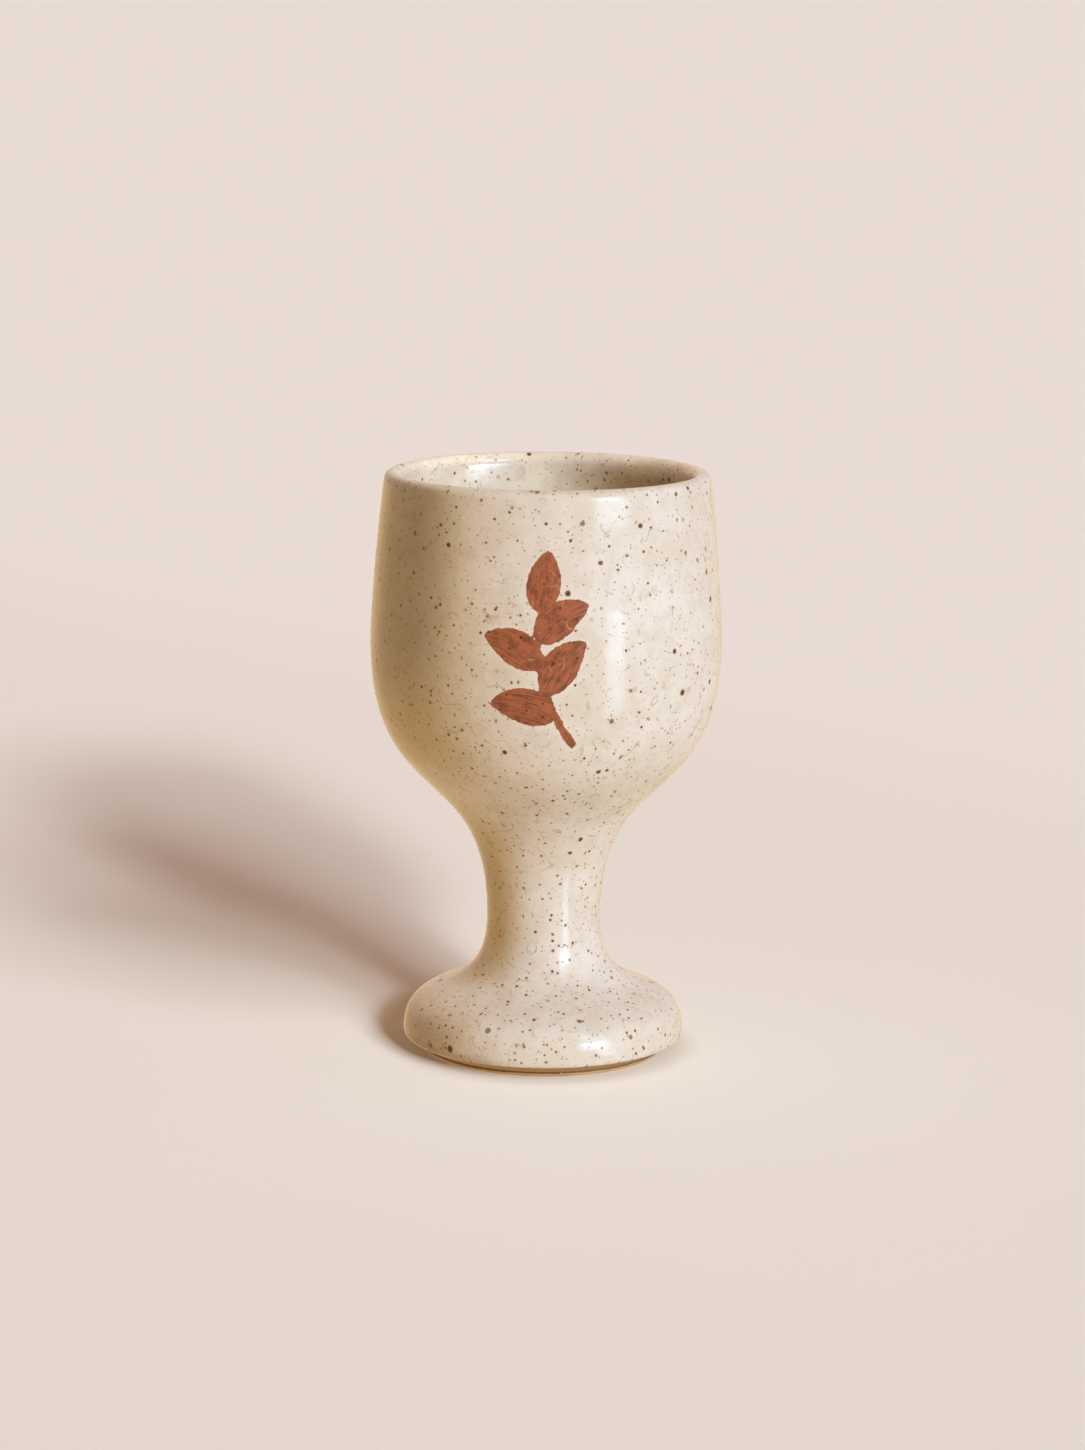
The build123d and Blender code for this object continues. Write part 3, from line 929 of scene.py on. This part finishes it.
# Suns, by name: their angles to the right of the front and above level, their spread, the light of each on a
# white card that faces it, and what it falls on
SUNS = {
    "soft_key": (24, 22.5, 13, (0.21, 0.19, 0.11), "goblet"),
    "back_soft": (200, 25, 80, (0.45, 0.39, 0.33), "goblet"),
    "top_soft": (0, 75, 50, (0.11, 0.135, 0.1), "goblet"),
    "liner_soft": (60, 35, 30, (0.18, 0.15, 0.14), "liner"),
    "floor_low": (21.7, 21.8, 7, (0.48, 0.51, 0.53), "floor"),
    "floor_middle": (31, 25.2, 17, (0.535, 0.6, 0.625), "floor"),
    "floor_fill": (-70, 45, 120, (0.06, 0.072, 0.08), "floor"),
    "floor_high": (44.5, 36.7, 18, (0.26, 0.27, 0.29), "floor"),
}
# Lamps that show only in the gloss, by name: their angles to the right of the front and above level, their
# distance, lift, width and height in metres, the angle that they shine into, and their brightness
GLINT_LIGHT = (0.62, 0.92, 1.2)
GLINTS = {
    "lip_pane": (37, 0, 0.115, 0.153, 0.04, 0.016, 180, 4.8),
    "upper_strip": (37, 0, 0.115, 0.0885, 0.02, 0.061, 180, 4.0),
    "lower_strip": (40, 0, 0.068, 0.026, 0.011, 0.05, 120, 1.9),
    "window_pane": (42, 17, 20.0, 0.0, 6.4, 5.4, 180, 8.0),
    "bowl_glint": (78, 0, 0.0286, 0.131, 0.03, 0.009, 180, 13.0),
}
# Camera: the height of its sensor in millimetres, how far it sees, and how far right of the axis it aims
SENSOR_HEIGHT = 36.0
VIEW_REACH = 200.0
AIM_ASIDE = -0.78 * MM


# Operators


class GOBLET_OT_outside_glaze(bpy.types.Operator):
    """Makes the outer coat of glaze with its brushed sprig"""

    bl_idname = "goblet.outside_glaze"
    bl_label = "Glaze the outside"

    def execute(self, context):
        form = context.scene.goblet_form
        radius, height, section = outside_surface(form)
        # The hidden face runs back from the crest, and ends one ring short of the bead that closes the coat
        back_along = rows(section.length, BACK_STEP, END_STEP, END_STEP)[:0:-1, None]
        back = turned_points(*section.at(back_along + 0 * ANGLE, form.coat))
        rings = np.concatenate([turned_points(radius, height), back])
        colours = context.scene.goblet_colours
        material = glaze_material("glossy_stoneware_glaze_brushed", colours, form, painted=True)
        piece = add_piece("outer_glaze_coat", rings, ring_faces(len(rings), looped=True), material)
        turn = (ANGLE + math.pi) % (2 * math.pi) - math.pi
        for name, values in zip(BRUSH_MARKS, brushwork(radius * turn, height)):
            whole = np.full(len(rings) * COLUMNS, FAR_FROM_PAINT, np.float32)
            whole[: values.size] = values.ravel()
            piece.data.attributes.new(name, "FLOAT", "POINT").data.foreach_set("value", whole)
        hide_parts("outside_glaze")
        return {"FINISHED"}


class GOBLET_OT_inside_glaze(bpy.types.Operator):
    """Makes the inner coat of glaze, from the lip's crest to the floor of the bowl"""

    bl_idname = "goblet.inside_glaze"
    bl_label = "Glaze the inside"

    def execute(self, context):
        form = context.scene.goblet_form
        radius, height, section = inside_surface(form)
        # The hidden face runs up from beside the middle of the floor to the crest, the glazed face back down
        back_along = rows(section.length, BACK_STEP, END_STEP, END_STEP)[-2::-1, None]
        back = turned_points(*section.at(back_along + 0 * ANGLE, form.coat))
        rings = np.concatenate([back, turned_points(radius, height)])
        middle = section.points[-1][1]
        poles = np.array([[0, 0, middle], [0, 0, middle - form.coat]])
        points = np.concatenate([rings.reshape(-1, 3), poles])
        pole = len(rings) * COLUMNS
        faces = ring_faces(len(rings), looped=False)
        faces += cap_faces(pole - COLUMNS, pole, upward=True)
        faces += cap_faces(0, pole + 1, upward=False)
        colours = context.scene.goblet_colours
        material = glaze_material("glossy_stoneware_glaze_liner", colours, form, painted=False)
        piece = add_piece("inner_glaze_coat", points, faces, material)
        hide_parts("inside_glaze")
        return {"FINISHED"}


class GOBLET_OT_pedestal(bpy.types.Operator):
    """Makes the stem and foot of bare clay, with the turned ring that shows under the glaze"""

    bl_idname = "goblet.pedestal"
    bl_label = "Turn the pedestal"

    def execute(self, context):
        rings = turned_points(*pedestal_surface(context.scene.goblet_form))
        material = clay_material("turned_bare_stoneware", context.scene.goblet_colours, turned=True)
        piece = add_piece("turned_pedestal", rings, ring_faces(len(rings), looped=True), material)
        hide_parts("pedestal")
        return {"FINISHED"}


class GOBLET_OT_bare_clay(bpy.types.Operator):
    """Gives the clay solids inside the glaze their fired finish"""

    bl_idname = "goblet.bare_clay"
    bl_label = "Fire the clay"

    def execute(self, context):
        clay = clay_material("luted_bare_stoneware", context.scene.goblet_colours, turned=False)
        for node in ("bowl", "luting_slip", "joint_coil"):
            mesh = frame["nodes"][node].data
            mesh.materials.clear()
            mesh.materials.append(clay)
        return {"FINISHED"}


class GOBLET_OT_stage(bpy.types.Operator):
    """Sets up the floor, the lamps, the world and the camera"""

    bl_idname = "goblet.stage"
    bl_label = "Set the stage"

    def execute(self, context):
        scene = context.scene
        setup = scene.goblet_studio
        scene.view_settings.view_transform = "Standard"
        floor = self.lay_floor(scene, setup)
        self.hang_lamps(scene, setup, floor)
        self.tint_world(scene, setup)
        self.place_camera(scene, setup)
        return {"FINISHED"}

    def lay_floor(self, scene, setup):
        corners = [(x * FLOOR_REACH, y * FLOOR_REACH, 0) for x, y in ((-1, -1), (1, -1), (1, 1), (-1, 1))]
        mesh = bpy.data.meshes.new("studio_floor")
        mesh.from_pydata(corners, [], [(0, 1, 2, 3)])
        mesh.materials.append(floor_material(setup))
        floor = bpy.data.objects.new("studio_floor", mesh)
        scene.collection.objects.link(floor)
        return floor

    def hang_lamps(self, scene, setup, floor):
        """Lights the goblet, its liner and the floor apart, so that each is as bright as it should look."""
        lit_alone = {}
        for name in ("floor", "goblet", "liner"):
            lit_alone[name] = bpy.data.collections.new(f"{name}_alone")
        lit_alone["floor"].objects.link(floor)
        lit_alone["liner"].objects.link(scene.objects["inner_glaze_coat"])
        for piece in scene.objects:
            if piece.type == "MESH" and piece != floor:
                lit_alone["goblet"].objects.link(piece)

        width, height = (
            2 * WINDOW_DISTANCE * math.tan(angle / 2) for angle in (setup.window_width, setup.window_height)
        )
        window = self.area_lamp("window", width, height, WINDOW_LIGHT, (math.pi * WINDOW_DISTANCE) ** 2)
        hung = self.hang(scene, window, setup.window_side, setup.window_rise, WINDOW_DISTANCE)
        hung.visible_glossy = False
        hung.light_linking.receiver_collection = lit_alone["goblet"]
        for name, (side, rise, spread, light, lit) in SUNS.items():
            sun = bpy.data.lights.new(name, "SUN")
            sun.energy = math.pi
            sun.color = light
            sun.angle = math.radians(spread)
            hung = self.hang(scene, sun, math.radians(side), math.radians(rise), 1.0)
            hung.visible_glossy = False
            hung.light_linking.receiver_collection = lit_alone[lit]
        for name, (side, rise, distance, lift, width, height, spread, glow) in GLINTS.items():
            glint = self.area_lamp(name, width, height, GLINT_LIGHT, glow * math.pi * width * height)
            glint.spread = math.radians(spread)
            hung = self.hang(scene, glint, math.radians(side), math.radians(rise), distance, lift)
            hung.visible_diffuse = False

    def area_lamp(self, name, width, height, light, energy):
        lamp = bpy.data.lights.new(name, "AREA")
        lamp.shape = "RECTANGLE"
        lamp.size = width
        lamp.size_y = height
        lamp.color = light
        lamp.energy = energy
        return lamp

    def hang(self, scene, lamp, side, rise, distance, lift=0.0):
        """Puts a lamp at a distance from the goblet's axis, turned to face it, and lifts it."""
        way = Vector((math.sin(side) * math.cos(rise), -math.cos(side) * math.cos(rise), math.sin(rise)))
        hung = bpy.data.objects.new(lamp.name, lamp)
        stand = Matrix.Translation(distance * way + Vector((0, 0, lift)))
        hung.matrix_world = stand @ way.to_track_quat("Z", "Y").to_matrix().to_4x4()
        hung.visible_camera = False
        scene.collection.objects.link(hung)
        return hung

    def tint_world(self, scene, setup):
        """Shows the pale backdrop to the camera and in the gloss, and lights the rest with a warm fill."""
        world = bpy.data.worlds.new("studio_surround")
        tree = cleared_tree(world)
        path = add(tree, "LightPath").node.outputs
        seen = add(tree, "Math", {0: path["Is Camera Ray"], 1: path["Is Glossy Ray"]}, **LARGER)
        seen = add(tree, "Math", {0: seen, 1: path["Is Transmission Ray"]}, **LARGER)
        colour = add(tree, "Mix", {0: seen, 6: opaque(setup.fill), 7: opaque(setup.backdrop)}, **TINT)
        light = add(tree, "Background", {"Color": colour, "Strength": 1.0})
        add(tree, "OutputWorld", {"Surface": light})
        scene.world = world

    def place_camera(self, scene, setup):
        lens = bpy.data.cameras.new("photo_camera")
        lens.lens = setup.lens
        lens.sensor_fit = "VERTICAL"
        lens.sensor_height = SENSOR_HEIGHT
        lens.clip_end = VIEW_REACH
        aim = Vector((AIM_ASIDE, 0, setup.aim_height))
        back = Vector((0, -math.cos(setup.camera_rise), math.sin(setup.camera_rise)))
        turn = back.to_track_quat("Z", "Y").to_matrix().to_4x4()
        roll = Matrix.Rotation(setup.camera_roll, 4, "Z")
        camera = bpy.data.objects.new("photo_camera", lens)
        camera.matrix_world = Matrix.Translation(aim + setup.camera_distance * back) @ turn @ roll
        scene.collection.objects.link(camera)
        scene.camera = camera


class GOBLET_PT_workshop(bpy.types.Panel):
    """Lists the goblet's sizes, colours and steps in the sidebar"""

    bl_idname = "GOBLET_PT_workshop"
    bl_label = "Stoneware goblet"
    bl_space_type = "VIEW_3D"
    bl_region_type = "UI"
    bl_category = "Goblet"

    def draw(self, context):
        for step in STEPS:
            self.layout.operator(step.bl_idname)
        for name, group in GROUPS.items():
            box = self.layout.box()
            for setting in group.__annotations__:
                box.prop(getattr(context.scene, name), setting)


STEPS = (
    GOBLET_OT_outside_glaze,
    GOBLET_OT_inside_glaze,
    GOBLET_OT_pedestal,
    GOBLET_OT_bare_clay,
    GOBLET_OT_stage,
)
GROUPS = {"goblet_form": GobletForm, "goblet_colours": GlazeColours, "goblet_studio": StudioSetup}
CLASSES = (*GROUPS.values(), *STEPS, GOBLET_PT_workshop)


def register():
    for kind in CLASSES:
        bpy.utils.register_class(kind)
    for name, group in GROUPS.items():
        setattr(bpy.types.Scene, name, bpy.props.PointerProperty(type=group))


def unregister():
    for name in GROUPS:
        delattr(bpy.types.Scene, name)
    for kind in reversed(CLASSES):
        bpy.utils.unregister_class(kind)


def main():
    register()
    bpy.ops.goblet.outside_glaze()
    bpy.ops.goblet.inside_glaze()
    bpy.ops.goblet.pedestal()
    bpy.ops.goblet.bare_clay()
    bpy.ops.goblet.stage()


if __name__ == "__main__":
    main()
